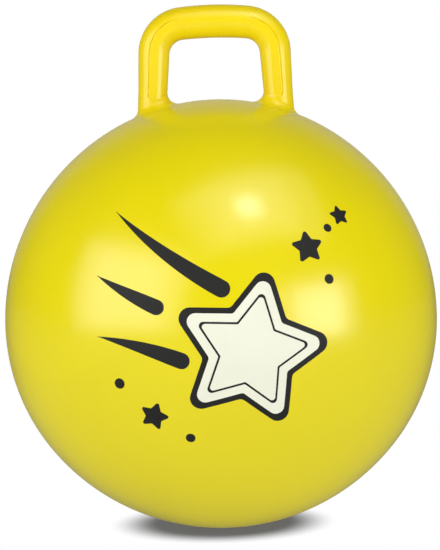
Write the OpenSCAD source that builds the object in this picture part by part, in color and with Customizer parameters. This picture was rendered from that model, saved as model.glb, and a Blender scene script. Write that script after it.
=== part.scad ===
// Inflatable hopper ball: a vinyl ball with a looped handle on top and a plugged air valve at the back.
// Millimetres. +Z is up through the handle, the front faces -Y, and z = 0 is the floor.

/* [Ball] */
// Diameter of the inflated ball at its widest
ball_d = 450; // [380:5:600]
// How much taller the upper half is than half the diameter, pulled up by the handle
crown_rise = 4; // [1:0.5:12]
// How much tighter the top is rounded than half the diameter
crown_tuck = 7; // [3:0.5:12]
// How much shallower the lower half is than half the diameter, under the ball's own weight
base_sag = 7.5; // [2:0.5:15]
// How much flatter the bottom is rounded than half the diameter
base_spread = 4; // [2:0.5:12]
// Diameter of the flat patch that the ball settles onto
patch_d = 50; // [30:2:90]
// Thickness of the stretched vinyl skin
skin_t = 1.2; // [0.8:0.1:3]

/* [Handle] */
// Width across the outsides of the two legs
handle_w = 158; // [146:1:200]
// Height of the handle's top above the top of the ball
handle_h = 98; // [85:1:140]
// Outside diameter of each leg above its flare
leg_d = 30; // [26:0.5:36]
// Outside diameter of the top bar at its middle
bar_d = 34; // [28:0.5:40]
// Wall thickness of the handle's tube
tube_t = 3; // [2:0.1:5]
// Centreline radius of the two upper corners
corner_r = 32; // [26:1:40]
// Centreline radius of the gently bowed top bar
bow_r = 350; // [200:10:600]
// Angle by which each leg spreads towards its foot
leg_splay = 3; // [0:0.5:5]
// Radius of the flare that runs each leg out onto the ball
flare_r = 11; // [8:0.5:14]
// Thickness of the flare at its rim
flare_rim_t = 0.5; // [0.3:0.1:1]
// Thickness of the bond between the handle's feet and the skin
bond_t = 0.1; // [0.05:0.05:0.3]

/* [Grip recesses] */
// Width of each recess
recess_w = 10; // [6:0.5:14]
// Depth of each recess along its middle
recess_depth = 1.2; // [0.6:0.1:1.8]
// Plain length of the top bar between the left and right recesses
recess_gap = 55; // [30:1:64]
// How far the recess's lower end reaches down past the top of the flare's inner side
recess_reach = 7; // [0:0.5:7]

/* [Valve seat] */
// Angle of the valve below the ball's widest line, at the back
valve_drop = 20; // [0:1:40]
// Diameter of the seat's outer lip, let in flush with the skin
lip_d = 28; // [24:0.5:36]
// Thickness of the seat's outer lip
lip_t = 1.6; // [1:0.1:3]
// Diameter of the seat's neck through the skin
neck_d = 19; // [18:0.5:22]
// Thickness of skin left behind the lip
web_t = 2.5; // [1.5:0.1:5]
// Diameter of the thickened pad of skin around the valve
pad_d = 42; // [38:1:60]
// Diameter of the flange behind the skin
flange_d = 27; // [24:0.5:34]
// Thickness of the flange behind the skin
flange_t = 2; // [1:0.1:4]
// Outside diameter of the seat's inner sleeve
sleeve_d = 12.5; // [11:0.5:15]
// Length of the seat's inner sleeve
sleeve_l = 16; // [10:1:30]
// Air bore of the seat
bore_d = 8; // [7:0.1:9]
// Clearance around the seat in the skin
seat_clear = 0.15; // [0.05:0.05:0.4]

/* [Valve plug] */
// Diameter of the plug's head
head_d = 15; // [12:0.5:16]
// Thickness of the plug's head
head_t = 2.2; // [1.5:0.1:3]
// Clearance around the plug's head in the seat
head_clear = 0.3; // [0.2:0.05:0.5]
// Clearance under and over the plug's head
head_gap = 0.1; // [0.05:0.05:0.3]
// Diameter of the plug's stem between its ribs
stem_d = 6.6; // [4:0.1:6.8]
// Length of the plug's stem below its head
stem_l = 20; // [14:0.5:26]
// Number of sealing ribs on the stem
rib_count = 3; // [1:1:4]
// Width of each sealing rib
rib_w = 1.4; // [0.8:0.1:2]
// Distance between one rib and the next
rib_pitch = 4.5; // [3:0.5:5]
// Clearance around the ribs in the air bore
rib_clear = 0.06; // [0.02:0.01:0.1]
// Length of the stem's tapered tip
tip_l = 3; // [1:0.5:5]
// Diameter of the tip's end
tip_d = 4.4; // [3:0.1:6]
// Diameter of the dished middle of the head
dish_d = 7; // [4:0.5:9]
// Depth of the dished middle of the head
dish_depth = 0.6; // [0.3:0.1:1]
// Width of the notch for a fingernail at the head's edge
notch_w = 5; // [3:0.5:7]
// Depth of the fingernail notch in from the head's edge
notch_l = 1.8; // [1:0.1:2.5]

/* [Hidden] */
$fn = 96;

skin_yellow = [0.87, 0.82, 0.12];
handle_yellow = [0.98, 0.85, 0.10];
seat_yellow = [0.90, 0.84, 0.30];
plug_white = [0.94, 0.94, 0.91];

// Room that a cutting shape takes beyond the face it cuts
over = 1;

// The ball's outline is four tangent arcs: a rounded top and bottom centred on the ball's axis, and two
// sides centred level with the widest line. Its points are [radius, height above the widest line].
ball_r = ball_d / 2;
crown_r = ball_r - crown_tuck;
crown_c = [0, crown_rise + crown_tuck];
crown_side_r = ball_r - crown_tuck / 2 + pow(crown_c.y, 2) / crown_tuck / 2;
crown_side_c = [ball_r - crown_side_r, 0];
base_r = ball_r + base_spread;
base_c = [0, base_sag + base_spread];
base_side_r = ball_r + base_spread / 2 - pow(base_c.y, 2) / base_spread / 2;
base_side_c = [ball_r - base_side_r, 0];
// Far points on the lines through two arcs' centres, where one arc runs into the next.
crown_far = crown_c + ball_d * (crown_c - crown_side_c) / norm(crown_c - crown_side_c);
base_far = base_side_c + ball_d * (base_side_c - base_c) / norm(base_side_c - base_c);
widest_z = sqrt(pow(base_r, 2) - pow(patch_d / 2, 2)) - base_c.y;

// The handle's centreline, in x and height above the rounded top's centre, is a chain of tangent arcs and lines.
leg_r = leg_d / 2;
bar_r = bar_d / 2;
leg_x = handle_w / 2 - (leg_r + bar_r) / 2;
bar_top = crown_r + handle_h - bar_r;
foot_r = crown_r + bond_t;
bow_c = [0, bar_top - bow_r];
bow_a = asin((leg_x - corner_r) / (bow_r - corner_r));
corner_c = [leg_x - corner_r, bow_c.y + (bow_r - corner_r) * cos(bow_a)];
// The leg runs down from the corner, splayed. Its line lies leg_off away from the rounded top's centre.
leg_out = [cos(leg_splay), sin(leg_splay)];
leg_up = [-sin(leg_splay), cos(leg_splay)];
leg_off = corner_c * leg_out + corner_r;
// Height along the leg above which its round section is whole, clear of the flare at its inner side.
foot_top = flare_h(180);
// Distances along the centreline from there to the end of each stretch, up to the bar's middle.
leg_end = corner_c * leg_up - foot_top;
corner_end = leg_end + corner_r * (90 - bow_a - leg_splay) * PI / 180;
bar_middle = corner_end + bow_r * bow_a * PI / 180;
// The recess runs along the same centreline, from just above the flare to the top bar.
recess_low = -recess_reach;
recess_high = bar_middle - recess_gap / 2;
recess_wall = 0.4;

// Heights of the valve along its own axis, from the centre of the ball's lower side arc.
lip_top = sqrt(pow(base_side_r, 2) - pow(lip_d / 2, 2));
lip_floor = lip_top - lip_t;
web_floor = lip_floor - web_t;
flange_floor = web_floor - flange_t;
head_floor = lip_top - head_t - 2 * head_gap;
stem_top = head_floor + head_gap;

// Stands a child at the centre of the ball's rounded top.
module at_crown() translate([0, 0, widest_z + crown_c.y]) children();

// Turns a child's +Z to point out of the ball along the valve's axis.
module at_valve() translate([0, base_side_c.x, widest_z]) rotate([-90 - valve_drop, 0, 0]) children();

// Repeats a child on the left and on the right.
module both_sides() {
    children();
    mirror([1, 0, 0]) children();
}

// Stands a child's +Z along the right leg.
module at_foot() rotate([0, -leg_splay, 0]) translate([leg_off, 0, 0]) children();

// Half outline of the upper half, drawn in by the given inset.
module crown_outline(inset) {
    intersection() {
        translate(crown_c) circle(crown_r - inset);
        polygon([crown_c, crown_far, crown_c + [0, ball_d]]);
    }
    intersection() {
        translate(crown_side_c) circle(crown_side_r - inset);
        polygon([[0, 0], [ball_d, 0], [ball_d, crown_far.y], crown_far, crown_c]);
    }
}

// Half outline of the lower half, drawn in by the given inset and cut flat where the ball settles.
module base_outline(inset)
    difference() {
        union() {
            intersection() {
                translate(base_c) circle(base_r - inset);
                polygon([[0, 0], base_side_c, base_far, [0, base_far.y]]);
            }
            intersection() {
                translate(base_side_c) circle(base_side_r - inset);
                polygon([base_side_c, [ball_d, 0], [ball_d, base_far.y], base_far]);
            }
        }
        translate([0, inset - widest_z - ball_d]) square(ball_d);
    }

// The whole ball as a solid, drawn in by the given inset.
module ball_solid(inset)
    translate([0, 0, widest_z])
        rotate_extrude() {
            crown_outline(inset);
            base_outline(inset);
        }

// Angle from +X of the side of the tube that faces out of the loop, at a distance along the centreline.
function turn_at(s) =
    s < leg_end ? leg_splay :
    s < corner_end ? (s - leg_end) / corner_r * 180 / PI + leg_splay :
    90 - (bar_middle - s) / bow_r * 180 / PI;

// Point [x, height] of the centreline at a distance along it.
function centre_at(s) =
    let(a = turn_at(s), out = [cos(a), sin(a)])
    s < leg_end ? leg_off * leg_out + (foot_top + s) * leg_up :
    s < corner_end ? corner_c + corner_r * out :
    bow_c + bow_r * out;

// Outside radius of the tube, which grows from the leg to the bar's middle.
function body_r_at(s) = leg_r + (bar_r - leg_r) * sin(90 * max(s, 0) / bar_middle);

// The flare's round hollow touches the leg and the ball. In the plane through the leg's axis at an angle round
// the leg, the ball is cut in a circle and the hollow's centre lies flare_h above the rounded top's centre.
function ball_cut_r(a) = sqrt(foot_r * foot_r - pow(leg_off * sin(a), 2));
function flare_h(a) = sqrt(pow(ball_cut_r(a) + flare_r, 2) - pow(leg_r + flare_r + leg_off * cos(a), 2));
// Angle round the hollow from the leg to the flare's rim, where flare_rim_t is left over the ball.
function flare_sweep(a) =
    let(reach = ball_cut_r(a) + flare_r)
    atan2(flare_h(a), leg_r + flare_r + leg_off * cos(a))
    - acos((reach * reach + flare_r * flare_r - pow(reach - flare_r + flare_rim_t, 2)) / (2 * reach * flare_r));
function flare_rim_r(a) = leg_r + flare_r - flare_r * cos(flare_sweep(a));

// How far a distance along the centreline lies inside the recess's nearer end.
function recess_depth_in(s) = min(s - recess_low, recess_high - s);

// Width of the recess, whose ends are round, with a narrow trace kept beyond them.
function recess_w_at(s) =
    let(e = min(max(recess_depth_in(s), 0), recess_w / 2))
    max(2 * sqrt(e * (recess_w - e)), 2 * recess_wall);

// Height of the tube's front from its centreline: the recess's flat floor, or the full radius beyond its ends.
function front_at(s) = body_r_at(s) - (recess_depth_in(s) > 0 ? recess_depth : 0);

// Section of a tube as points [outward, sideways]. Front and back are cut down to a flat of the given width.
side_points = 13;
floor_points = 4;
function floor_line(r, w, front) =
    [for (i = [0 : floor_points - 1])
        let(u = w / 2 - w * i / (floor_points - 1))
        [u, min(sqrt(r * r - u * u), front)]];
function side_arc(r, w, middle) =
    let(half = acos((w / 2 + recess_wall) / r))
    [for (i = [0 : side_points - 1])
        let(a = middle + half * (2 * i / (side_points - 1) - 1))
        r * [cos(a), sin(a)]];
function section(r, w, front) =
    let(floor_row = floor_line(r, w, front))
    concat(side_arc(r, w, 0), floor_row, side_arc(r, w, 180), -floor_row);

// Stands a section across the centreline, in the handle's plane.
function ring(centre, a, points) =
    [for (p = points) [centre.x + p.x * cos(a), p.y, centre.y + p.x * sin(a)]];
function outer_ring(s) =
    let(r = body_r_at(s))
    ring(centre_at(s), turn_at(s), section(r, recess_w_at(s), front_at(s)));
function bore_ring(s) =
    let(r = body_r_at(s) - tube_t)
    ring(centre_at(s), turn_at(s), section(r, 2 * recess_wall, r));

// Stands points [outward, sideways, up the leg] at the right leg.
function foot_ring(points) =
    [for (p = points)
        let(q = (leg_off + p.x) * leg_out + p.z * leg_up)
        [q.x, p.y, q.y]];
round_section = section(leg_r, 2 * recess_wall, leg_r);
function around(p) = atan2(p.y, p.x);
// Ring of the straight leg between its whole section and the flare, drawn down by the given share.
function shin_ring(share) =
    let(s = share * (flare_h(90) - foot_top))
    foot_ring([for (p = section(leg_r, recess_w_at(s), front_at(s)))
        [p.x, p.y, foot_top + share * (flare_h(around(p)) - foot_top)]]);
// Ring of the flare at the given share of its sweep.
function flare_ring(share) =
    foot_ring([for (p = round_section)
        let(a = around(p), e = share * flare_sweep(a), r = leg_r + flare_r - flare_r * cos(e))
        [r * cos(a), r * sin(a), flare_h(a) - flare_r * sin(e)]]);
// Ring of the foot's underside on the ball, at the given share of the way from the bore to the rim.
function sole_ring(share) =
    foot_ring([for (p = round_section)
        let(a = around(p), bore_r = leg_r - tube_t, r = bore_r + share * (flare_rim_r(a) - bore_r))
        [r * cos(a), r * sin(a), sqrt(pow(ball_cut_r(a), 2) - pow(r + leg_off * cos(a), 2))]]);

function mirrored(rings) = [for (i = [len(rings) - 1 : -1 : 0]) [for (p = rings[i]) [-p.x, p.y, p.z]]];
function flipped(rings) = [for (i = [len(rings) - 1 : -1 : 0]) rings[i]];
function steps(from, to, n) = [for (i = [0 : n - 1]) from + (to - from) * i / n];
function sorted(v) =
    len(v) < 2 ? v :
    let(below = [for (x = v) if (x < v[0]) x], above = [for (x = v) if (x > v[0]) x])
    concat(sorted(below), [v[0]], sorted(above));

// Distances along the centreline at which the rings stand, closer together at the recess's round ends.
end_offsets = [for (i = [0 : 4]) recess_w / 2 * (1 - cos(22 * i)) + recess_wall / 4];
shin_shares = [for (s = concat([recess_low - recess_wall], [for (e = end_offsets) recess_low + e]))
    s / (flare_h(90) - foot_top)];
stations = sorted(concat(
    [recess_high + recess_wall], [for (e = end_offsets) recess_high - e],
    steps(0, leg_end, 4), steps(leg_end, corner_end, 12), steps(corner_end, bar_middle, 6)));
bore_stations = concat(steps(0, leg_end, 3), steps(leg_end, corner_end, 9), steps(corner_end, bar_middle, 3));

// The tube's skin is one closed chain of rings: over the loop outside, under the feet and back through the bore.
outer_half = concat(
    [for (i = [0 : 3]) sole_ring(i / 3)],
    [for (i = [6 : -1 : 0]) flare_ring(i / 6)],
    [for (share = shin_shares) shin_ring(share)],
    [for (s = stations) outer_ring(s)]);
bore_half = [for (s = bore_stations) bore_ring(s)];
tube_rings = concat(
    outer_half, [outer_ring(bar_middle)], mirrored(outer_half),
    mirrored(flipped(bore_half)), [bore_ring(bar_middle)], flipped(bore_half));

// Closes a chain of equal rings, each with the next and the last with the first.
module closed_loft(rings) {
    n = len(rings);
    m = len(rings[0]);
    corners = [for (i = [0 : n - 1], k = [0 : m - 1])
        [i * m + k, (i + 1) % n * m + k, (i + 1) % n * m + (k + 1) % m, i * m + (k + 1) % m]];
    polyhedron(
        points = [for (r = rings) each r],
        faces = [for (c = corners) each [[c[0], c[1], c[2]], [c[0], c[2], c[3]]]]);
}

// Air way through a foot, from inside the skin up to the loop.
module foot_bore()
    at_foot()
        translate([0, 0, foot_r / 2])
            cylinder(r = leg_r - tube_t, h = foot_r);

// Inflated skin, thickened and let in for the valve, and open under the handle's legs.
module ball_skin()
    color(skin_yellow)
        difference() {
            union() {
                difference() {
                    ball_solid(0);
                    ball_solid(skin_t);
                }
                intersection() {
                    ball_solid(0);
                    at_valve() translate([0, 0, web_floor]) cylinder(d = pad_d, h = ball_r);
                }
            }
            at_valve() translate([0, 0, lip_floor]) cylinder(d = lip_d + 2 * seat_clear, h = ball_r);
            at_valve() translate([0, 0, web_floor - over]) cylinder(d = neck_d + 2 * seat_clear, h = ball_r);
            at_crown() both_sides() foot_bore();
        }

// Hollow looped handle on two flared feet, with a long grip recess down each side, front and back.
module handle()
    color(handle_yellow)
        at_crown() closed_loft(tube_rings);

// Soft grommet that grips the skin between its lip and its flange, and lines the air bore.
module valve_seat()
    color(seat_yellow)
        at_valve()
            difference() {
                union() {
                    translate([0, 0, lip_floor]) cylinder(d = lip_d, h = lip_t);
                    translate([0, 0, web_floor]) cylinder(d = neck_d, h = web_t);
                    translate([0, 0, flange_floor]) cylinder(d = flange_d, h = flange_t);
                    translate([0, 0, flange_floor - sleeve_l]) cylinder(d = sleeve_d, h = sleeve_l);
                }
                translate([0, 0, head_floor]) cylinder(d = head_d + 2 * head_clear, h = ball_r);
                translate([0, 0, flange_floor - sleeve_l - over]) cylinder(d = bore_d, h = ball_r);
            }

// Push-in stopper with sealing ribs on its stem and a notched, dished head.
module valve_plug()
    color(plug_white)
        at_valve()
            translate([0, 0, stem_top])
                difference() {
                    union() {
                        cylinder(d = head_d, h = head_t);
                        translate([0, 0, -stem_l]) cylinder(d = stem_d, h = stem_l);
                        translate([0, 0, -stem_l - tip_l]) cylinder(d1 = tip_d, d2 = stem_d, h = tip_l);
                        for (i = [1 : rib_count])
                            translate([0, 0, -i * rib_pitch - rib_w])
                                cylinder(d = bore_d - 2 * rib_clear, h = rib_w);
                    }
                    translate([0, 0, head_t - dish_depth]) cylinder(d = dish_d, h = head_t);
                    translate([-notch_w / 2, head_d / 2 - notch_l, -over])
                        cube([notch_w, head_d, head_t + 2 * over]);
                }

ball_skin();
handle();
valve_seat();
valve_plug();
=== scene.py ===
"""Looks of an inflatable hopper ball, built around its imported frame.

The vinyl ball, its looped handle, the air valve and the printed front are modelled as meshes, in metres and in
the frame's own axes: +Z up through the handle, -Y out of the printed front, and z = 0 on the floor.
"""

import logging
import math
from dataclasses import dataclass
from enum import Enum
from typing import ClassVar, Iterable, Optional, Sequence

import bpy
import numpy as np
from mathutils import Matrix, Vector
from mathutils.geometry import delaunay_2d_cdt


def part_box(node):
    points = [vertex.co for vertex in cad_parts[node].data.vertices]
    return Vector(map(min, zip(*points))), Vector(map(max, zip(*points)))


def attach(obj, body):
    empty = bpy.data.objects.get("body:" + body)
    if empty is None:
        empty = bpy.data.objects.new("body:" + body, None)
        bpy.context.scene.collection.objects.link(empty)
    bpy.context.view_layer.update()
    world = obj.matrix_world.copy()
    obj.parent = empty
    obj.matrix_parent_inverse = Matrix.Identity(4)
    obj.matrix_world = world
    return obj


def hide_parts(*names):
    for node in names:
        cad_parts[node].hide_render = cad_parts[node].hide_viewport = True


MM = 0.001
TINY = 1e-12
RIGHT = np.array([1.0, 0.0, 0.0])
MIRRORED = np.array([-1.0, 1.0, 1.0])

logging.basicConfig(level=logging.INFO, format="%(name)s: %(message)s")
log = logging.getLogger("hopper_ball")

Colour = tuple[float, float, float]
Point = tuple[float, float]

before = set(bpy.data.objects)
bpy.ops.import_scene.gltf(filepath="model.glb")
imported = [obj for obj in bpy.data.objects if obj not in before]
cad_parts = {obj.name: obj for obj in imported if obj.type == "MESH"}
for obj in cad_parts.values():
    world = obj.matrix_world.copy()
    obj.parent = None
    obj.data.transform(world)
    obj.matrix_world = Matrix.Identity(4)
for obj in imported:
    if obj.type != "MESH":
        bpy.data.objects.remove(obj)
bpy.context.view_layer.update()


class Body(Enum):
    """Bodies of the frame that pieces ride on."""

    BALL = "ball"
    PLUG = "plug"


class Slot(Enum):
    """The record's material slots."""

    BALL = "ball_vinyl"
    HANDLE = "handle_vinyl"
    SEAT = "seat_rubber"
    PLUG = "plug_plastic"


def smooth_step(low: float, high: float, value: np.ndarray) -> np.ndarray:
    """Eases from 0 at low to 1 at high.

    Args:
        low: Where the step starts.
        high: Where the step ends.
        value: Numbers to ease.

    Returns:
        The eased numbers, from 0 to 1.
    """
    t = np.clip((value - low) / (high - low), 0.0, 1.0)
    return t * t * (3.0 - 2.0 * t)


def unit(vectors: np.ndarray) -> np.ndarray:
    """Scales each row to length 1."""
    return vectors / np.linalg.norm(vectors, axis=-1, keepdims=True)


def ring_round(axis: np.ndarray, columns: int) -> np.ndarray:
    """Lists unit vectors round an axis, from +X on and clockwise for someone who looks at its tip.

    Args:
        axis: Unit vector square to +X.
        columns: Number of vectors.

    Returns:
        The vectors, one a row.
    """
    turns = np.linspace(0.0, 2 * math.pi, columns, endpoint=False)
    return np.outer(np.cos(turns), RIGHT) + np.outer(np.sin(turns), np.cross(RIGHT, axis))


def make_piece(name: str, points: np.ndarray, faces: Iterable[Sequence[int]]) -> bpy.types.Object:
    """Makes a smooth mesh object at the frame's origin.

    Args:
        name: Name of the piece.
        points: Vertices, one a row, in metres.
        faces: Corner numbers of each face.

    Returns:
        The new object, linked to the scene.
    """
    mesh = bpy.data.meshes.new(name)
    mesh.from_pydata([tuple(p) for p in points], [], [list(f) for f in faces])
    mesh.validate()
    mesh.shade_smooth()
    piece = bpy.data.objects.new(name, mesh)
    bpy.context.scene.collection.objects.link(piece)
    return piece


def ring_faces(rows: int, columns: int, looped: bool = False) -> list[list[int]]:
    """Joins rings of vertices into a sheet of quads.

    Args:
        rows: Number of rings.
        columns: Number of vertices in each ring.
        looped: Whether the last ring joins the first.

    Returns:
        The quads. They face out when the rings run anticlockwise about the way ahead.
    """
    pairs = [(i, i + 1) for i in range(rows - 1)] + ([(rows - 1, 0)] if looped else [])
    return [
        [i * columns + k, i * columns + (k + 1) % columns, j * columns + (k + 1) % columns, j * columns + k]
        for i, j in pairs
        for k in range(columns)
    ]


def seat_piece(
    piece: bpy.types.Object,
    body: Body,
    material: bpy.types.Material,
    node: Optional[str] = None,
) -> None:
    """Gives a piece its material and ties it to the frame.

    Args:
        piece: The piece.
        body: Body that it rides on.
        material: Finish of the piece.
        node: CAD node that it stands for.
    """
    piece.data.materials.append(material)
    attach(piece, body.value)
    if node:
        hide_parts(node)
    log.info("%s rides on %s, %d faces", piece.name, body.value, len(piece.data.polygons))


@dataclass(frozen=True)
class Arc:
    """One arc of the ball's outline, in a half plane of [distance from the axis, height over the hub]."""

    centre: Point
    radius: float
    start: float

    @staticmethod
    def bearing(point: Point) -> float:
        """Angle of a point above the level, seen from the hub."""
        return math.atan2(point[1], point[0])


def beyond(start: Point, through: Point, reach: float) -> Point:
    """Finds the point at a distance from the first point, on the line from the second through the first.

    Args:
        start: First point.
        through: Second point.
        reach: Distance from the first point.

    Returns:
        The point.
    """
    run = math.dist(start, through)
    return tuple(s + reach * (s - t) / run for s, t in zip(start, through))


@dataclass(frozen=True)
class BallForm:
    """Outline of the inflated ball: it is drawn up by its handle and settles onto a flat patch."""

    radius: float
    crown_rise: float = 4 * MM
    crown_tuck: float = 7 * MM
    base_sag: float = 7.5 * MM
    base_spread: float = 4 * MM
    patch_radius: float = 25 * MM
    patch_blend: float = 60 * MM

    @property
    def crown_radius(self) -> float:
        """Radius of the rounded top."""
        return self.radius - self.crown_tuck

    @property
    def crown_centre(self) -> Point:
        """Centre of the rounded top."""
        return (0.0, self.crown_rise + self.crown_tuck)

    @property
    def base_centre(self) -> Point:
        """Centre of the rounded bottom."""
        return (0.0, self.base_sag + self.base_spread)

    @property
    def hub(self) -> float:
        """Height of the ball's widest line above the floor."""
        return math.sqrt((self.radius + self.base_spread) ** 2 - self.patch_radius**2) - self.base_centre[1]

    @property
    def crown_level(self) -> float:
        """Height of the rounded top's centre above the floor."""
        return self.hub + self.crown_centre[1]

    @property
    def lower_side(self) -> tuple[Point, float]:
        """Works out the lower side arc.

        Returns:
            Its centre and radius.
        """
        rise, spread = self.base_centre[1], self.base_spread
        radius = self.radius + spread / 2 - rise**2 / spread / 2
        return (self.radius - radius, 0.0), radius

    def arcs(self) -> list[Arc]:
        """Works out the arcs of the outline.

        Returns:
            The arcs, from the patch's edge up to the top.
        """
        crown_c, base_c = self.crown_centre, self.base_centre
        base_r = self.radius + self.base_spread
        crown_side_r = self.radius - self.crown_tuck / 2 + crown_c[1] ** 2 / self.crown_tuck / 2
        crown_side_c = (self.radius - crown_side_r, 0.0)
        base_side_c, base_side_r = self.lower_side
        blend_up = self.patch_blend - self.hub
        blend_c = (math.sqrt((base_r - self.patch_blend) ** 2 - (base_c[1] - blend_up) ** 2), blend_up)
        return [
            Arc(blend_c, self.patch_blend, Arc.bearing((blend_c[0], -self.hub))),
            Arc(base_c, base_r, Arc.bearing(beyond(blend_c, base_c, self.patch_blend))),
            Arc(base_side_c, base_side_r, Arc.bearing(beyond(base_side_c, base_c, base_side_r))),
            Arc(crown_side_c, crown_side_r, 0.0),
            Arc(crown_c, self.crown_radius, Arc.bearing(beyond(crown_c, crown_side_c, self.crown_radius))),
        ]

    def place(self, directions: np.ndarray) -> tuple[np.ndarray, np.ndarray]:
        """Finds where rays from the hub meet the ball's skin.

        Args:
            directions: Unit vectors, one a row.

        Returns:
            The points on the skin and the outward normals there.
        """
        out = np.hypot(directions[:, 0], directions[:, 1])
        up = directions[:, 2]
        arcs = self.arcs()
        which = np.searchsorted([a.start for a in arcs], np.arctan2(up, out), side="right")
        with np.errstate(divide="ignore"):
            reach = np.where(which == 0, -self.hub / up, 0.0)
        normal_out = np.zeros_like(out)
        normal_up = np.full_like(out, -1.0)
        for i, arc in enumerate(arcs, start=1):
            here = which == i
            along = out[here] * arc.centre[0] + up[here] * arc.centre[1]
            reach[here] = along + np.sqrt(along**2 - arc.centre[0] ** 2 - arc.centre[1] ** 2 + arc.radius**2)
            normal_out[here] = (reach[here] * out[here] - arc.centre[0]) / arc.radius
            normal_up[here] = (reach[here] * up[here] - arc.centre[1]) / arc.radius
        points = directions * reach[:, None] + np.array([0.0, 0.0, self.hub])
        spread = normal_out / np.maximum(out, TINY)
        normals = np.column_stack([directions[:, 0] * spread, directions[:, 1] * spread, normal_up])
        return points, unit(normals)


@dataclass(frozen=True)
class ValveAxis:
    """Place of the air valve: the middle of its seat's lip, and its axis out of the ball."""

    form: BallForm
    drop: float = math.radians(20)
    lip_radius: float = 14 * MM

    @property
    def axis(self) -> np.ndarray:
        """Unit vector out of the ball along the valve."""
        return np.array([0.0, math.cos(self.drop), -math.sin(self.drop)])

    @property
    def face(self) -> np.ndarray:
        """Works out the middle of the flush lip.

        Returns:
            The point in the frame.
        """
        (out, _), radius = self.form.lower_side
        reach = math.sqrt(radius**2 - self.lip_radius**2)
        return np.array([0.0, out, self.form.hub]) + reach * self.axis

    def rings(self, profile: Sequence[Point], columns: int) -> np.ndarray:
        """Turns a profile about the valve's axis, clockwise for someone who looks at the valve.

        Args:
            profile: Points [radius, height over the lip], in millimetres.
            columns: Vertices round each ring.

        Returns:
            The vertices, ring by ring.
        """
        ring = ring_round(self.axis, columns)
        return np.vstack([self.face + radius * MM * ring + height * MM * self.axis for radius, height in profile])


class NodeBoard:
    """Adds and links the nodes of one material, world or node group."""

    mix_inputs: ClassVar[tuple[int, int, int]] = (0, 6, 7)
    mix_result: ClassVar[int] = 2

    def __init__(self, tree: bpy.types.NodeTree) -> None:
        """Starts on a tree that it empties."""
        self.tree = tree
        tree.nodes.clear()

    @classmethod
    def of(cls, owner: bpy.types.ID) -> "NodeBoard":
        """Starts on the tree of a material or world."""
        owner.use_nodes = True
        return cls(owner.node_tree)

    def add(self, kind: str, settings: Optional[dict] = None, **inputs: object) -> bpy.types.Node:
        """Adds a node.

        Args:
            kind: Blender's name of the node type.
            settings: Attributes to set on the node.
            **inputs: Values or output sockets for its inputs, with _ for a space in the input's name.

        Returns:
            The node.
        """
        node = self.tree.nodes.new(kind)
        for name, value in (settings or {}).items():
            setattr(node, name, value)
        for name, value in inputs.items():
            self.feed(node.inputs[name.replace("_", " ")], value)
        return node

    def feed(self, socket: bpy.types.NodeSocket, value: object) -> None:
        """Links an output to an input socket, or sets the socket's value.

        Args:
            socket: The input socket.
            value: Value or output socket.
        """
        if isinstance(value, bpy.types.NodeSocket):
            self.tree.links.new(value, socket)
        else:
            socket.default_value = value

    def math(self, operation: str, *values: object, clamp: bool = False) -> bpy.types.NodeSocket:
        """Works out one arithmetic step.

        Args:
            operation: Blender's name of the operation.
            *values: Values or output sockets.
            clamp: Whether the result is held between 0 and 1.

        Returns:
            The result's socket.
        """
        node = self.add("ShaderNodeMath", {"operation": operation, "use_clamp": clamp})
        for socket, value in zip(node.inputs, values):
            self.feed(socket, value)
        return node.outputs[0]

    def mix(self, factor: object, first: object, second: object) -> bpy.types.NodeSocket:
        """Mixes two colours.

        Args:
            factor: Share of the second colour.
            first: First colour or socket.
            second: Second colour or socket.

        Returns:
            The mixed colour's socket.
        """
        node = self.add("ShaderNodeMix", {"data_type": "RGBA"})
        for number, value in zip(self.mix_inputs, (factor, first, second)):
            self.feed(node.inputs[number], value)
        return node.outputs[self.mix_result]

    def join(
        self, kind: str, first: bpy.types.NodeSocket, second: bpy.types.NodeSocket, **inputs: object
    ) -> bpy.types.NodeSocket:
        """Joins two shaders in a node that takes them as its last two inputs.

        Args:
            kind: Blender's name of the node type.
            first: First shader's socket.
            second: Second shader's socket.
            **inputs: Values or output sockets for its other inputs.

        Returns:
            The joined shader's socket.
        """
        node = self.add(kind, **inputs)
        for socket, shader in zip(list(node.inputs)[-2:], (first, second)):
            self.feed(socket, shader)
        return node.outputs[0]

    def span(self, value: object, low: float, high: float, to_low: float, to_high: float) -> bpy.types.NodeSocket:
        """Maps a value smoothly from one span to another.

        Args:
            value: Value or socket.
            low: Start of the first span.
            high: End of the first span.
            to_low: Result at the start.
            to_high: Result at the end.

        Returns:
            The result's socket.
        """
        node = self.add("ShaderNodeMapRange", {"interpolation_type": "SMOOTHSTEP"})
        for socket, number in zip(node.inputs, (value, low, high, to_low, to_high)):
            self.feed(socket, number)
        return node.outputs[0]


class GroupKind(Enum):
    """Shared surface effects."""

    TONE = "tone_drift"
    GRAIN = "moulded_grain"
    RUBS = "handling_rubs"


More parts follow.
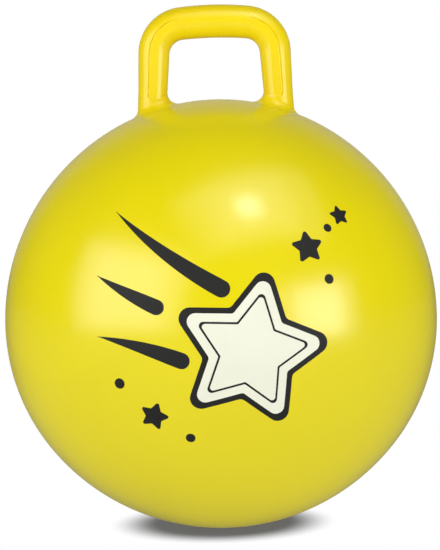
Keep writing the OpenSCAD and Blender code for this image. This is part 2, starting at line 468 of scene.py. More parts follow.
class SurfaceGroups:
    """Shader node groups that several finishes share, each made once."""

    cloud_span: ClassVar[Point] = (0.35, 0.7)
    streak_turn: ClassVar[tuple[float, float, float]] = (0.4, 0.7, 0.2)
    streak_draw: ClassVar[tuple[float, float, float]] = (1.0, 0.12, 0.5)
    streak_span: ClassVar[Point] = (0.56, 0.74)
    patch_scale: ClassVar[float] = 9.0
    patch_span: ClassVar[Point] = (0.45, 0.65)

    def __init__(self) -> None:
        """Makes the three groups."""
        self.trees = {
            GroupKind.TONE: self.tone_drift(),
            GroupKind.GRAIN: self.moulded_grain(),
            GroupKind.RUBS: self.handling_rubs(),
        }

    @staticmethod
    def start(
        kind: GroupKind, inputs: dict[str, tuple[str, object]], outputs: dict[str, str]
    ) -> tuple[NodeBoard, bpy.types.Node, bpy.types.Node]:
        """Makes an empty group with named sockets.

        Args:
            kind: Which group it is.
            inputs: Socket type and default of each input.
            outputs: Socket type of each output.

        Returns:
            The board, the group's input node and its output node.
        """
        tree = bpy.data.node_groups.new(kind.value, "ShaderNodeTree")
        for name, (socket_type, default) in inputs.items():
            tree.interface.new_socket(name, in_out="INPUT", socket_type=socket_type).default_value = default
        for name, socket_type in outputs.items():
            tree.interface.new_socket(name, in_out="OUTPUT", socket_type=socket_type)
        board = NodeBoard(tree)
        return board, board.add("NodeGroupInput"), board.add("NodeGroupOutput")

    @classmethod
    def tone_drift(cls) -> bpy.types.NodeTree:
        """Makes a colour that drifts a little lighter and deeper over the surface, as pigment does in a moulding.

        Returns:
            The group.
        """
        board, given, out = cls.start(
            GroupKind.TONE,
            {
                "Colour": ("NodeSocketColor", (0.8, 0.8, 0.8, 1.0)),
                "Deep": ("NodeSocketColor", (0.7, 0.7, 0.7, 1.0)),
                "Scale": ("NodeSocketFloat", 6.0),
                "Amount": ("NodeSocketFloat", 0.3),
            },
            {"Colour": "NodeSocketColor"},
        )
        place = board.add("ShaderNodeTexCoord").outputs["Object"]
        clouds = board.add("ShaderNodeTexNoise", Vector=place, Scale=given.outputs["Scale"], Detail=3.0, Roughness=0.5)
        share = board.span(clouds.outputs[0], *cls.cloud_span, 0.0, 1.0)
        share = board.math("MULTIPLY", share, given.outputs["Amount"])
        board.feed(out.inputs["Colour"], board.mix(share, given.outputs["Colour"], given.outputs["Deep"]))
        return board.tree

    @classmethod
    def moulded_grain(cls) -> bpy.types.NodeTree:
        """Makes the fine unevenness of a moulded surface: long soft waves under a fine peel.

        Returns:
            The group.
        """
        board, given, out = cls.start(
            GroupKind.GRAIN,
            {
                "Peel Scale": ("NodeSocketFloat", 500.0),
                "Wave Scale": ("NodeSocketFloat", 25.0),
                "Peel Share": ("NodeSocketFloat", 0.3),
                "Roughness": ("NodeSocketFloat", 0.3),
                "Spread": ("NodeSocketFloat", 0.05),
            },
            {"Height": "NodeSocketFloat", "Roughness": "NodeSocketFloat"},
        )
        place = board.add("ShaderNodeTexCoord").outputs["Object"]
        peel = board.add("ShaderNodeTexNoise", Vector=place, Scale=given.outputs["Peel Scale"], Detail=2.0)
        wave = board.add("ShaderNodeTexNoise", Vector=place, Scale=given.outputs["Wave Scale"], Detail=2.0)
        fine = board.math("MULTIPLY", peel.outputs[0], given.outputs["Peel Share"])
        board.feed(out.inputs["Height"], board.math("ADD", fine, wave.outputs[0]))
        swing = board.math("MULTIPLY", board.math("SUBTRACT", wave.outputs[0], 0.5), given.outputs["Spread"])
        board.feed(out.inputs["Roughness"], board.math("ADD", given.outputs["Roughness"], swing))
        return board.tree

    @classmethod
    def handling_rubs(cls) -> bpy.types.NodeTree:
        """Makes faint dull rubs from handling, in short streaks and patches.

        Returns:
            The group.
        """
        board, given, out = cls.start(
            GroupKind.RUBS,
            {"Scale": ("NodeSocketFloat", 40.0), "Amount": ("NodeSocketFloat", 0.3)},
            {"Mask": "NodeSocketFloat"},
        )
        place = board.add("ShaderNodeTexCoord").outputs["Object"]
        drawn = board.add("ShaderNodeMapping", Vector=place, Rotation=cls.streak_turn, Scale=cls.streak_draw)
        streaks = board.add(
            "ShaderNodeTexNoise", Vector=drawn.outputs[0], Scale=given.outputs["Scale"], Detail=6.0, Roughness=0.65
        )
        patches = board.add("ShaderNodeTexNoise", Vector=place, Scale=cls.patch_scale, Detail=2.0)
        marks = board.math(
            "MULTIPLY",
            board.span(streaks.outputs[0], *cls.streak_span, 0.0, 1.0),
            board.span(patches.outputs[0], *cls.patch_span, 0.0, 1.0),
        )
        board.feed(out.inputs["Mask"], board.math("MULTIPLY", marks, given.outputs["Amount"], clamp=True))
        return board.tree

    def place(self, board: NodeBoard, kind: GroupKind, **inputs: object) -> bpy.types.Node:
        """Places a group in a material.

        Args:
            board: The material's board.
            kind: Which group.
            **inputs: Values or sockets for its inputs, with _ for a space.

        Returns:
            The group's node.
        """
        return board.add("ShaderNodeGroup", {"node_tree": self.trees[kind]}, **inputs)


@dataclass(frozen=True)
class Finish:
    """A moulded or printed surface: its colour, gloss and the share of each surface effect."""

    name: str
    colour: Colour
    deep: Colour
    roughness: float
    tone_scale: float = 5.0
    tone_amount: float = 0.5
    peel_scale: float = 420.0
    wave_scale: float = 22.0
    peel_share: float = 0.08
    bump: float = 0.1
    bump_reach: float = 0.25 * MM
    spread: float = 0.08
    rub_scale: float = 40.0
    rub_amount: float = 0.3
    rub_dulling: float = 0.1
    specular: float = 0.3

    def base_colour(self, board: NodeBoard, groups: SurfaceGroups) -> bpy.types.NodeSocket:
        """Colour over the surface.

        Args:
            board: The material's board.
            groups: Shared node groups.

        Returns:
            The colour's socket.
        """
        tone = groups.place(
            board,
            GroupKind.TONE,
            Colour=(*self.colour, 1.0),
            Deep=(*self.deep, 1.0),
            Scale=self.tone_scale,
            Amount=self.tone_amount,
        )
        return tone.outputs["Colour"]

    def material(self, groups: SurfaceGroups) -> bpy.types.Material:
        """Makes the material.

        Args:
            groups: Shared node groups.

        Returns:
            The material.
        """
        made = bpy.data.materials.new(self.name)
        board = NodeBoard.of(made)
        grain = groups.place(
            board,
            GroupKind.GRAIN,
            Peel_Scale=self.peel_scale,
            Wave_Scale=self.wave_scale,
            Peel_Share=self.peel_share,
            Roughness=self.roughness,
            Spread=self.spread,
        )
        rubs = groups.place(board, GroupKind.RUBS, Scale=self.rub_scale, Amount=self.rub_amount)
        dulled = board.math("MULTIPLY", rubs.outputs["Mask"], self.rub_dulling)
        bump = board.add(
            "ShaderNodeBump", Strength=self.bump, Distance=self.bump_reach, Height=grain.outputs["Height"]
        )
        shader = board.add(
            "ShaderNodeBsdfPrincipled",
            Base_Color=self.base_colour(board, groups),
            Roughness=board.math("ADD", grain.outputs["Roughness"], dulled),
            Normal=bump.outputs[0],
            Specular_IOR_Level=self.specular,
        )
        board.add("ShaderNodeOutputMaterial", Surface=shader.outputs[0])
        return made


@dataclass(frozen=True)
class FadedFinish(Finish):
    """A finish that runs into a second colour where the piece's own fade attribute rises to 1."""

    runs_into: Colour = (0.8, 0.7, 0.02)
    fade: str = "foot_fade"

    def base_colour(self, board: NodeBoard, groups: SurfaceGroups) -> bpy.types.NodeSocket:
        """Colour over the surface, mixed into the second colour by the fade attribute.

        Args:
            board: The material's board.
            groups: Shared node groups.

        Returns:
            The colour's socket.
        """
        own = super().base_colour(board, groups)
        share = board.add("ShaderNodeAttribute", {"attribute_name": self.fade}).outputs["Fac"]
        return board.mix(share, own, (*self.runs_into, 1.0))


LEMON: Colour = (0.785, 0.668, 0.003)
LEMON_DEEP: Colour = (0.745, 0.622, 0.003)
GOLD: Colour = (0.83, 0.64, 0.005)
GOLD_DEEP: Colour = (0.79, 0.59, 0.004)

BALL_VINYL = Finish("ball_vinyl", LEMON, LEMON_DEEP, roughness=0.22, specular=0.65)
HANDLE_VINYL = FadedFinish(
    "handle_vinyl", GOLD, GOLD_DEEP, roughness=0.26, tone_scale=14.0, wave_scale=60.0, rub_amount=0.12,
    specular=0.45, runs_into=LEMON,
)
BLACK_INK = Finish(
    "black_ink", (0.016, 0.016, 0.015), (0.022, 0.022, 0.021), roughness=0.55, tone_scale=30.0, peel_scale=900.0,
    specular=0.2,
)
CREAM_INK = Finish(
    "cream_ink", (0.8, 0.805, 0.66), (0.76, 0.76, 0.61), roughness=0.55, tone_scale=18.0, peel_scale=900.0,
    specular=0.2,
)
SEAT_RUBBER = Finish(
    "seat_rubber", (0.72, 0.62, 0.03), (0.6, 0.5, 0.02), roughness=0.5, tone_scale=60.0, wave_scale=120.0,
    peel_scale=1800.0, bump=0.2, bump_reach=0.1 * MM,
)
PLUG_PLASTIC = Finish(
    "plug_plastic", (0.84, 0.84, 0.8), (0.78, 0.77, 0.71), roughness=0.33, tone_scale=80.0, wave_scale=150.0,
    peel_scale=2200.0, bump=0.15, bump_reach=0.1 * MM,
)


@dataclass
class Ball:
    """The inflated skin, with a raised pad and a pocket around the valve."""

    form: BallForm
    valve: ValveAxis
    columns: int = 240
    ring_step: float = math.radians(1.4)
    pocket: tuple[Point, ...] = (
        (9.65, -4.1), (9.65, -1.7), (9.75, -1.6), (13.95, -1.6), (14.1, -1.55), (14.15, -1.4), (14.15, -0.35),
        (14.22, -0.1), (14.4, 0.09), (14.7, 0.19),
    )
    pad_radii: tuple[float, ...] = (
        15, 16, 17.5, 19, 20, 20.5, 21, 21.5, 22, 22.5, 23.2, 24.5, 26.5, 29.5, 33.5, 38.5, 44,
    )
    pad_edge: tuple[float, float] = (20 * MM, 22.5 * MM)
    pad_lift: float = 0.3 * MM

    def build(self) -> bpy.types.Object:
        """Makes the skin as rings from the valve round to the far side of the ball.

        Returns:
            The piece.
        """
        pole = self.valve.face - np.array([0.0, 0.0, self.form.hub])
        distance = float(np.linalg.norm(pole))
        near = np.array(self.pad_radii) * MM / distance
        far = np.arange(near[-1] + self.ring_step, math.pi - self.ring_step / 2, self.ring_step)
        skin, normals = self.form.place(self.directions(unit(pole), np.concatenate([near, far])))
        skin, at_pad = self.raise_pad(skin)
        end, end_normal = self.form.place(-unit(pole)[None, :])
        pocket = self.valve.rings(self.pocket, self.columns)
        points = np.vstack([pocket, skin, end])
        last = len(points) - 1
        ring = last - self.columns
        faces = ring_faces(last // self.columns, self.columns)
        faces += [[ring + k, ring + (k + 1) % self.columns, last] for k in range(self.columns)]
        piece = make_piece("ball", points, faces)
        self.set_normals(piece, len(pocket), at_pad, np.vstack([normals, end_normal]))
        return piece

    def directions(self, pole: np.ndarray, angles: np.ndarray) -> np.ndarray:
        """Lists unit vectors round the pole, ring by ring and clockwise for someone who looks at the pole.

        Args:
            pole: Unit vector to the middle of the rings.
            angles: Angle of each ring from the pole.

        Returns:
            The unit vectors.
        """
        ring = ring_round(pole, self.columns)
        return np.vstack([math.cos(a) * pole + math.sin(a) * ring for a in angles])

    def raise_pad(self, skin: np.ndarray) -> tuple[np.ndarray, np.ndarray]:
        """Lifts the thickened pad around the valve.

        Args:
            skin: Points on the plain skin.

        Returns:
            The points with the pad raised, and which of them lie on or by the pad.
        """
        offset = skin - self.valve.face
        height = offset @ self.valve.axis
        radius = np.linalg.norm(offset - np.outer(height, self.valve.axis), axis=1)
        near = (radius < 2 * self.pad_edge[1]) & (np.abs(height) < self.pad_edge[1])
        lift = np.where(near, self.pad_lift * (1.0 - smooth_step(*self.pad_edge, radius)), 0.0)
        return skin + np.outer(lift, self.valve.axis), near

    @staticmethod
    def set_normals(piece: bpy.types.Object, first: int, keep: np.ndarray, normals: np.ndarray) -> None:
        """Gives the plain skin its exact normals and leaves the valve's surrounds as meshed.

        Args:
            piece: The ball.
            first: Number of the skin's first vertex.
            keep: Which skin vertices keep their meshed normal.
            normals: Exact normals of the skin.
        """
        meshed = np.zeros(len(piece.data.vertices) * 3, dtype=np.float32)
        piece.data.vertex_normals.foreach_get("vector", meshed)
        meshed = meshed.reshape(-1, 3)
        plain = np.append(~keep, True)
        meshed[first:][plain] = normals[plain]
        piece.data.normals_split_custom_set_from_vertices(meshed.tolist())

    def dress(self, piece: bpy.types.Object, groups: SurfaceGroups) -> None:
        """Finishes the skin and seats it on the frame."""
        seat_piece(piece, Body.BALL, BALL_VINYL.material(groups), "ball_skin")


@dataclass
class Handle:
    """The hollow looped handle: a tube that swells to its bar, on two flared feet, with a long grip recess on each
    side, front and back. Heights are above the centre of the ball's rounded top."""

    form: BallForm
    width: float = 158 * MM
    height: float = 98 * MM
    leg_radius: float = 15 * MM
    bar_radius: float = 17 * MM
    corner_radius: float = 32 * MM
    bow_radius: float = 350 * MM
    splay: float = math.radians(3)
    flare_radius: float = 11 * MM
    recess_width: float = 10 * MM
    recess_depth: float = 1.2 * MM
    recess_gap: float = 55 * MM
    recess_reach: float = 7 * MM
    recess_corner: float = 4 * MM
    recess_wall: float = 0.35 * MM
    recess_tilt: float = 0.05
    recess_run_out: float = 24 * MM
    groove_width: float = 0.9 * MM
    groove_depth: float = 0.7 * MM
    rim_reach: float = 2.5 * MM
    rim_sink: float = 0.3 * MM
    fade_span: tuple[float, float] = (0.25, 1.0)
    flare_rings: int = 22
    shin_rings: int = 64
    station_step: float = 1.6 * MM
    end_span: tuple[float, float] = (-1.0 * MM, 6.0 * MM)
    end_step: float = 0.4 * MM
    least_step: float = 0.12 * MM
    edge_band: float = 4.0
    side_points: int = 26
    edge_points: int = 20
    floor_points: int = 10

    def __post_init__(self) -> None:
        """Works out the centreline: splayed leg, corner and bowed bar."""
        crown = self.form.crown_radius
        self.leg_x = self.width / 2 - (self.leg_radius + self.bar_radius) / 2
        bar_top = crown + self.height - self.bar_radius
        self.bow_c = np.array([0.0, bar_top - self.bow_radius])
        self.bow_a = math.asin((self.leg_x - self.corner_radius) / (self.bow_radius - self.corner_radius))
        rise = (self.bow_radius - self.corner_radius) * math.cos(self.bow_a)
        self.corner_c = np.array([self.leg_x - self.corner_radius, self.bow_c[1] + rise])
        self.leg_out = np.array([math.cos(self.splay), math.sin(self.splay)])
        self.leg_up = np.array([-math.sin(self.splay), math.cos(self.splay)])
        self.leg_off = float(self.corner_c @ self.leg_out) + self.corner_radius
        self.foot_top = float(self.flare_height(np.array(math.pi)))
        self.leg_end = float(self.corner_c @ self.leg_up) - self.foot_top
        self.corner_end = self.leg_end + self.corner_radius * (math.pi / 2 - self.bow_a - self.splay)
        self.middle = self.corner_end + self.bow_radius * self.bow_a
        self.recess_span = (-self.recess_reach, self.middle - self.recess_gap / 2)

    def turn_at(self, s: float) -> float:
        """Angle of the tube's outer side.

        Args:
            s: Distance along the centreline.

        Returns:
            The angle above the level.
        """
        if s < self.leg_end:
            return self.splay
        if s < self.corner_end:
            return self.splay + (s - self.leg_end) / self.corner_radius
        return math.pi / 2 - (self.middle - s) / self.bow_radius

    def centre_at(self, s: float) -> np.ndarray:
        """Point of the centreline.

        Args:
            s: Distance along the centreline.

        Returns:
            The point [x, height].
        """
        turn = self.turn_at(s)
        out = np.array([math.cos(turn), math.sin(turn)])
        if s < self.leg_end:
            return self.leg_off * self.leg_out + (self.foot_top + s) * self.leg_up
        if s < self.corner_end:
            return self.corner_c + self.corner_radius * out
        return self.bow_c + self.bow_radius * out

    def body_radius(self, s: float) -> float:
        """Radius of the tube, which swells from the leg to the bar's middle."""
        return self.leg_radius + (self.bar_radius - self.leg_radius) * math.sin(math.pi / 2 * max(s, 0.0) / self.middle)

    def flare_out(self, around: np.ndarray) -> np.ndarray:
        """Distance of the flare's hollow from the middle of the ball's cut, at angles round the leg."""
        return self.leg_radius + self.flare_radius + self.leg_off * np.cos(around)

    def flare_height(self, around: np.ndarray) -> np.ndarray:
        """Height along the leg at which the flare starts.

        Args:
            around: Angles round the leg.

        Returns:
            Heights at which a round hollow touches both the leg and the ball.
        """
        cut = np.sqrt(self.form.crown_radius**2 - (self.leg_off * np.sin(around)) ** 2)
        return np.sqrt((cut + self.flare_radius) ** 2 - self.flare_out(around) ** 2)

    def flare_sweep(self, around: np.ndarray) -> np.ndarray:
        """Angle round the hollow from the leg to the ball, at angles round the leg."""
        return np.arctan2(self.flare_height(around), self.flare_out(around))

    def stations(self) -> list[float]:
        """Distances along the centreline at which whole sections stand, up to the bar's middle.

        Returns:
            The distances, closer together at the upper end of the recess.
        """
        plain = np.arange(0.0, self.middle, self.station_step)
        end = self.recess_span[1] - np.arange(*self.end_span, self.end_step)
        kept = [0.0]
        for mark in np.sort(np.concatenate([plain, end])):
            if mark - kept[-1] > self.least_step:
                kept.append(float(mark))
        return kept

    def angles(self, radius: float) -> np.ndarray:
        """Angles of a section's points, closer together at the recess's edges.

        Args:
            radius: Radius of the section.

        Returns:
            The angles of a whole turn.
        """
        edge = math.acos(self.recess_width / 2 / radius)
        band = self.edge_band * self.recess_wall / radius
        quarter = np.concatenate([
            np.linspace(0.0, edge - band, self.side_points, endpoint=False),
            np.linspace(edge - band, edge + band, self.edge_points, endpoint=False),
            np.linspace(edge + band, math.pi / 2, self.floor_points, endpoint=False),
        ])
        half = np.concatenate([quarter, [math.pi / 2], math.pi - quarter[:0:-1]])
        return np.concatenate([half, half + math.pi])

    def past_edge(self, s: np.ndarray, across: np.ndarray) -> np.ndarray:
        """How far a point lies outside the recess's edge, on the flat.

        Args:
            s: Distances along the centreline.
            across: Distances from the centreline, towards the outer side.

        Returns:
            The distances, below 0 inside.
        """
        low, high = self.recess_span
        past_side = np.abs(across) - self.recess_width / 2 + self.recess_corner
        past_end = np.abs(s - (low + high) / 2) - (high - low) / 2 + self.recess_corner
        outside = np.hypot(np.maximum(past_side, 0.0), np.maximum(past_end, 0.0))
        return outside + np.minimum(np.maximum(past_side, past_end), 0.0) - self.recess_corner

    def sunk(self, radius: float, s: np.ndarray, angles: np.ndarray) -> tuple[np.ndarray, np.ndarray]:
        """Sinks the recess into a round section. It has a fine groove along its outer edge, and runs out on the bar.

        Args:
            radius: Radius of the section.
            s: Distances along the centreline.
            angles: Angles of the section's points.

        Returns:
            Distances of the points towards the outer side and towards the back.
        """
        across, side = radius * np.cos(angles), radius * np.sin(angles)
        past = self.past_edge(s, across)
        high = self.recess_span[1]
        kept = 1.0 - smooth_step(high - self.recess_run_out, high, s)
        share = kept * (1.0 - smooth_step(-self.recess_wall, self.recess_wall, past))
        inward = (past + self.recess_wall + self.groove_width / 2) / (self.groove_width / 2)
        groove = self.groove_depth * np.exp(-(inward**2)) * smooth_step(0.0, self.recess_corner, across)
        flat = radius - self.recess_depth - self.recess_tilt * across - groove
        floor = np.minimum(np.abs(side), flat)
        return across, np.sign(side) * (np.abs(side) * (1 - share) + floor * share)

    def section(self, s: float) -> np.ndarray:
        """Makes one whole section of the right half of the handle.

        Args:
            s: Distance along the centreline.

        Returns:
            Its points.
        """
        radius = self.body_radius(s)
        across, side = self.sunk(radius, np.array(s), self.angles(radius))
        return self.stand(self.centre_at(s), self.turn_at(s), across, side)

    def shin(self, share: float) -> np.ndarray:
        """Makes a ring of the straight leg between its lowest whole section and the flare.

        Args:
            share: Share of the way down to the flare.

        Returns:
            Its points.
        """
        angles = self.angles(self.leg_radius)
        drop = share * (self.flare_height(angles) - self.foot_top)
        across, side = self.sunk(self.leg_radius, drop, angles)
        return self.stand_foot(across, side, self.foot_top + drop)

    def flare(self, share: float, angles: np.ndarray) -> np.ndarray:
        """Makes a ring of the flare.

        Args:
            share: Share of the sweep from the leg to the ball.
            angles: Angles round the leg.

        Returns:
            Its points.
        """
        turned = share * self.flare_sweep(angles)
        radius = self.leg_radius + self.flare_radius * (1.0 - np.cos(turned))
        up = self.flare_height(angles) - self.flare_radius * np.sin(turned)
        return self.stand_foot(radius * np.cos(angles), radius * np.sin(angles), up)

    def stand_foot(self, across: np.ndarray, side: np.ndarray, up: np.ndarray) -> np.ndarray:
        """Stands points at the right leg.

        Args:
            across: Distances from the leg's axis towards the outer side.
            side: Distances towards the back.
            up: Heights along the leg.

        Returns:
            The points in the frame.
        """
        flat = np.outer(self.leg_off + across, self.leg_out) + np.outer(up, self.leg_up)
        return np.column_stack([flat[:, 0], side, flat[:, 1] + self.form.crown_level])

    def stand(self, centre: np.ndarray, turn: float, across: np.ndarray, side: np.ndarray) -> np.ndarray:
        """Stands a section across the centreline.

        Args:
            centre: Point [x, height] of the centreline.
            turn: Angle of the outer side.
            across: Distances towards the outer side.
            side: Distances towards the back.

        Returns:
            The points in the frame.
        """
        height = centre[1] + across * math.sin(turn) + self.form.crown_level
        return np.column_stack([centre[0] + across * math.cos(turn), side, height])

    def build(self) -> bpy.types.Object:
        """Lofts the handle from the right foot over the bar to the left foot.

        Returns:
            The piece, with its fade attribute set.
        """
        angles = self.angles(self.leg_radius)
        sweeps = np.linspace(1.0, 0.0, self.flare_rings)
        half = [self.flare(share, angles) for share in sweeps]
        crown = np.array([0.0, 0.0, self.form.crown_level])
        spread = self.rim_reach * unit(half[0] - half[1])
        half.insert(0, half[0] + spread - self.rim_sink * unit(half[0] - crown))
        half += [self.shin(share) for share in np.linspace(1.0, 0.0, self.shin_rings)[1:-1]]
        half += [self.section(s) for s in self.stations()]
        fades = np.zeros(len(half))
        fades[: len(sweeps) + 1] = smooth_step(*self.fade_span, np.append(1.0, sweeps))
        rows = half + [self.section(self.middle)] + [ring * MIRRORED for ring in reversed(half)]
        values = np.concatenate([fades, [0.0], fades[::-1]])
        columns = len(half[0])
        piece = make_piece("handle", np.vstack(rows), ring_faces(len(rows), columns))
        fade = piece.data.attributes.new(HANDLE_VINYL.fade, "FLOAT", "POINT")
        fade.data.foreach_set("value", np.repeat(values.astype(np.float32), columns))
        return piece

    def dress(self, piece: bpy.types.Object, groups: SurfaceGroups) -> None:
        """Finishes the handle and seats it on the frame."""
        seat_piece(piece, Body.BALL, HANDLE_VINYL.material(groups), "handle")


@dataclass
class ValveSeat:
    """The soft grommet in the skin that lines the air bore."""

    valve: ValveAxis
    columns: int = 96
    profile: tuple[Point, ...] = (
        (4.0, -22.1), (4.0, -2.9), (4.15, -2.6), (4.5, -2.45), (7.5, -2.45), (7.75, -2.35), (7.8, -2.1), (7.8, -0.5),
        (7.9, -0.25), (8.15, -0.1), (8.5, -0.04), (9.6, -0.02), (9.8, 0.1), (10.05, 0.15), (10.3, 0.1), (10.5, -0.02),
        (11.4, -0.02), (11.6, 0.1), (11.85, 0.15), (12.1, 0.1), (12.3, -0.02), (13.2, -0.05), (13.65, -0.16),
        (13.9, -0.38), (14.0, -0.7), (14.0, -1.45), (13.85, -1.6), (9.5, -1.6), (9.5, -4.1), (13.3, -4.1),
        (13.5, -4.3), (13.5, -5.9), (13.3, -6.1), (6.7, -6.1), (6.25, -6.5), (6.25, -21.8), (5.95, -22.1),
    )

    def build(self) -> bpy.types.Object:
        """Turns the grommet's section about the valve's axis.

        Returns:
            The piece.
        """
        points = self.valve.rings(self.profile, self.columns)
        return make_piece("valve_seat", points, ring_faces(len(self.profile), self.columns, looped=True))

    def dress(self, piece: bpy.types.Object, groups: SurfaceGroups) -> None:
        """Finishes the grommet and seats it on the frame."""
        seat_piece(piece, Body.BALL, SEAT_RUBBER.material(groups), "valve_seat")


@dataclass
class ValvePlug:
    """The push-in stopper: a dished head with a fingernail notch, on a ribbed stem."""

    valve: ValveAxis
    columns: int = 144
    head: tuple[Point, ...] = (
        (0.0, -0.7), (2.7, -0.7), (3.1, -0.64), (3.35, -0.45), (3.5, -0.25), (3.8, -0.12), (4.2, -0.1), (6.7, -0.1),
        (7.1, -0.17), (7.38, -0.38), (7.5, -0.7), (7.5, -2.05), (7.42, -2.22), (7.25, -2.3), (3.7, -2.3), (3.4, -2.4),
        (3.3, -2.7),
    )
    rib: tuple[Point, ...] = ((3.3, 0.25), (3.79, 0.0), (3.94, -0.15), (3.94, -0.5), (3.4, -1.3), (3.3, -1.5))
    rib_tops: tuple[float, ...] = (-6.8, -11.3, -15.8)
    tip: tuple[Point, ...] = ((3.3, -22.2), (3.2, -22.4), (2.3, -25.1), (2.05, -25.3), (0.0, -25.3))
    notch_half: float = 2.5 * MM
    notch_ease: float = 0.3 * MM
    notch_floor: float = 5.7 * MM
    sharp_edge: float = math.radians(50)

    def profile(self) -> list[Point]:
        """Lists the stopper's section from the middle of its head to its tip."""
        ribs = [(radius, top + height) for top in self.rib_tops for radius, height in self.rib]
        return [*self.head, *ribs, *self.tip]

    def build(self) -> bpy.types.Object:
        """Turns the stopper about the valve's axis and cuts the notch into its head.

        Returns:
            The piece.
        """
        profile = self.profile()
        points = self.cut_notch(self.valve.rings(profile, self.columns))
        piece = make_piece("valve_plug", points, ring_faces(len(profile), self.columns))
        piece.data.set_sharp_from_angle(angle=self.sharp_edge)
        return piece

    def cut_notch(self, points: np.ndarray) -> np.ndarray:
        """Draws the head's rim in where the notch is.

        Args:
            points: The stopper's vertices.

        Returns:
            The vertices with the notch.
        """
        down = np.cross(self.valve.axis, RIGHT)
        depth = (points - self.valve.face) @ down - self.notch_floor
        share = 1.0 - smooth_step(self.notch_half - self.notch_ease, self.notch_half, np.abs(points[:, 0]))
        return points - np.outer(np.maximum(depth, 0.0) * share, down)

    def dress(self, piece: bpy.types.Object, groups: SurfaceGroups) -> None:
        """Finishes the stopper and seats it on the frame."""
        seat_piece(piece, Body.PLUG, PLUG_PLASTIC.material(groups), "valve_plug")


@dataclass
class PartingSeam:
    """The fine raised line that the mould's two halves leave round the ball and the handle, in the plane y = 0."""

    form: BallForm
    handle: Handle
    half_width: float = 0.8 * MM
    rise: float = 0.18 * MM
    sink: float = 0.3 * MM
    bead_round: float = 0.96
    bead_dip: float = 0.2
    bead_points: int = 7
    fade_points: int = 4
    rim_share: float = 0.97
    foot_share: float = 0.9
    patch_gap: float = 0.02
    crown_points: int = 40
    side_points: int = 160
    foot_points: int = 14
    tube_points: int = 110

    def bead(self, path: np.ndarray, normals: np.ndarray) -> tuple[np.ndarray, list[list[int]]]:
        """Sweeps a low rounded bead along a path.

        Args:
            path: Points on the surface.
            normals: Outward normals there.

        Returns:
            The bead's vertices and faces.
        """
        spread = np.linspace(-1.0, 1.0, self.bead_points)
        height = self.rise * (np.sqrt(1.0 - self.bead_round * spread**2) - self.bead_dip)
        shape = np.vstack([np.column_stack([spread * self.half_width, height]), [0.0, -self.sink]])
        count = len(path)
        ends = np.minimum(np.arange(count), np.arange(count)[::-1])
        swell = smooth_step(-1.0, self.fade_points, ends.astype(float))
        rows = [
            p + np.outer(shape[:, 0] * w, [0.0, 1.0, 0.0]) + np.outer(shape[:, 1] * w, n)
            for p, n, w in zip(path, normals, swell)
        ]
        columns = len(shape)
        last = (count - 1) * columns
        faces = ring_faces(count, columns)
        faces += [list(range(columns))[::-1], [last + k for k in range(columns)]]
        return np.vstack(rows), faces

    def rim_bearing(self, around: float) -> float:
        """Angle above the level, seen from the hub, at which a foot's flare ends at an angle round the leg."""
        rim = self.handle.flare(self.rim_share, np.array([around]))[0]
        return math.atan2(rim[2] - self.form.hub, rim[0])

    def ball_paths(self) -> list[tuple[np.ndarray, np.ndarray]]:
        """Lists the seam's runs on the ball: between the feet, and down each side to the flat patch.

        Returns:
            The path and the normals of each run.
        """
        top, side = (self.rim_bearing(around) for around in (math.pi, 0.0))
        patch = self.form.arcs()[1].start + self.patch_gap
        runs = [np.linspace(top, math.pi - top, self.crown_points)]
        runs += [np.linspace(*ends, self.side_points) for ends in ((patch, side), (math.pi - side, math.pi - patch))]
        return [self.form.place(np.column_stack([np.cos(r), 0 * r, np.sin(r)])) for r in runs]

    def handle_paths(self) -> list[tuple[np.ndarray, np.ndarray]]:
        """Lists the seam's runs on the handle: along its outer and its inner side.

        Returns:
            The path and the normals of each run.
        """
        handle = self.handle
        runs = []
        for around, outward in ((0.0, 1.0), (math.pi, -1.0)):
            angles = np.array([around])
            half = []
            for share in np.linspace(self.foot_share, 0.0, self.foot_points, endpoint=False):
                turned = share * float(handle.flare_sweep(angles)[0])
                flat = outward * math.cos(turned) * handle.leg_out + math.sin(turned) * handle.leg_up
                half.append((handle.flare(share, angles)[0], np.array([flat[0], 0.0, flat[1]])))
            for s in np.linspace(0.0, handle.middle, self.tube_points):
                turn = handle.turn_at(s)
                reach = np.array([outward * handle.body_radius(s)])
                point = handle.stand(handle.centre_at(s), turn, reach, np.zeros(1))[0]
                half.append((point, outward * np.array([math.cos(turn), 0.0, math.sin(turn)])))
            whole = half + [(p * MIRRORED, n * MIRRORED) for p, n in reversed(half[:-1])]
            whole = whole if outward > 0 else whole[::-1]
            runs.append((np.array([p for p, _ in whole]), np.array([n for _, n in whole])))
        return runs

    def join(self, name: str, runs: list[tuple[np.ndarray, np.ndarray]]) -> bpy.types.Object:
        """Makes one piece of several runs.

        Args:
            name: Name of the piece.
            runs: Paths and normals.

        Returns:
            The piece.
        """
        points: list[np.ndarray] = []
        faces: list[list[int]] = []
        for path, normals in runs:
            start = sum(len(p) for p in points)
            vertices, quads = self.bead(path, normals)
            points.append(vertices)
            faces += [[start + i for i in quad] for quad in quads]
        return make_piece(name, np.vstack(points), faces)

    def build(self) -> list[bpy.types.Object]:
        """Makes the ball's seam and the handle's seam."""
        return [self.join("ball_seam", self.ball_paths()), self.join("handle_seam", self.handle_paths())]

    def dress(self, pieces: list[bpy.types.Object], groups: SurfaceGroups) -> None:
        """Gives each seam the finish of the moulding that it runs round."""
        for piece, name in zip(pieces, (BALL_VINYL.name, HANDLE_VINYL.name)):
            seat_piece(piece, Body.BALL, bpy.data.materials[name])


class Ink(Enum):
    """Inks of the print."""

    BLACK = BLACK_INK
    CREAM = CREAM_INK


@dataclass(frozen=True)
class Film:
    """One printed shape: its outline on the ball's unrolled front, its ink, and its layer from the skin out."""

    name: str
    outline: np.ndarray
    ink: Ink
    layer: int = 0


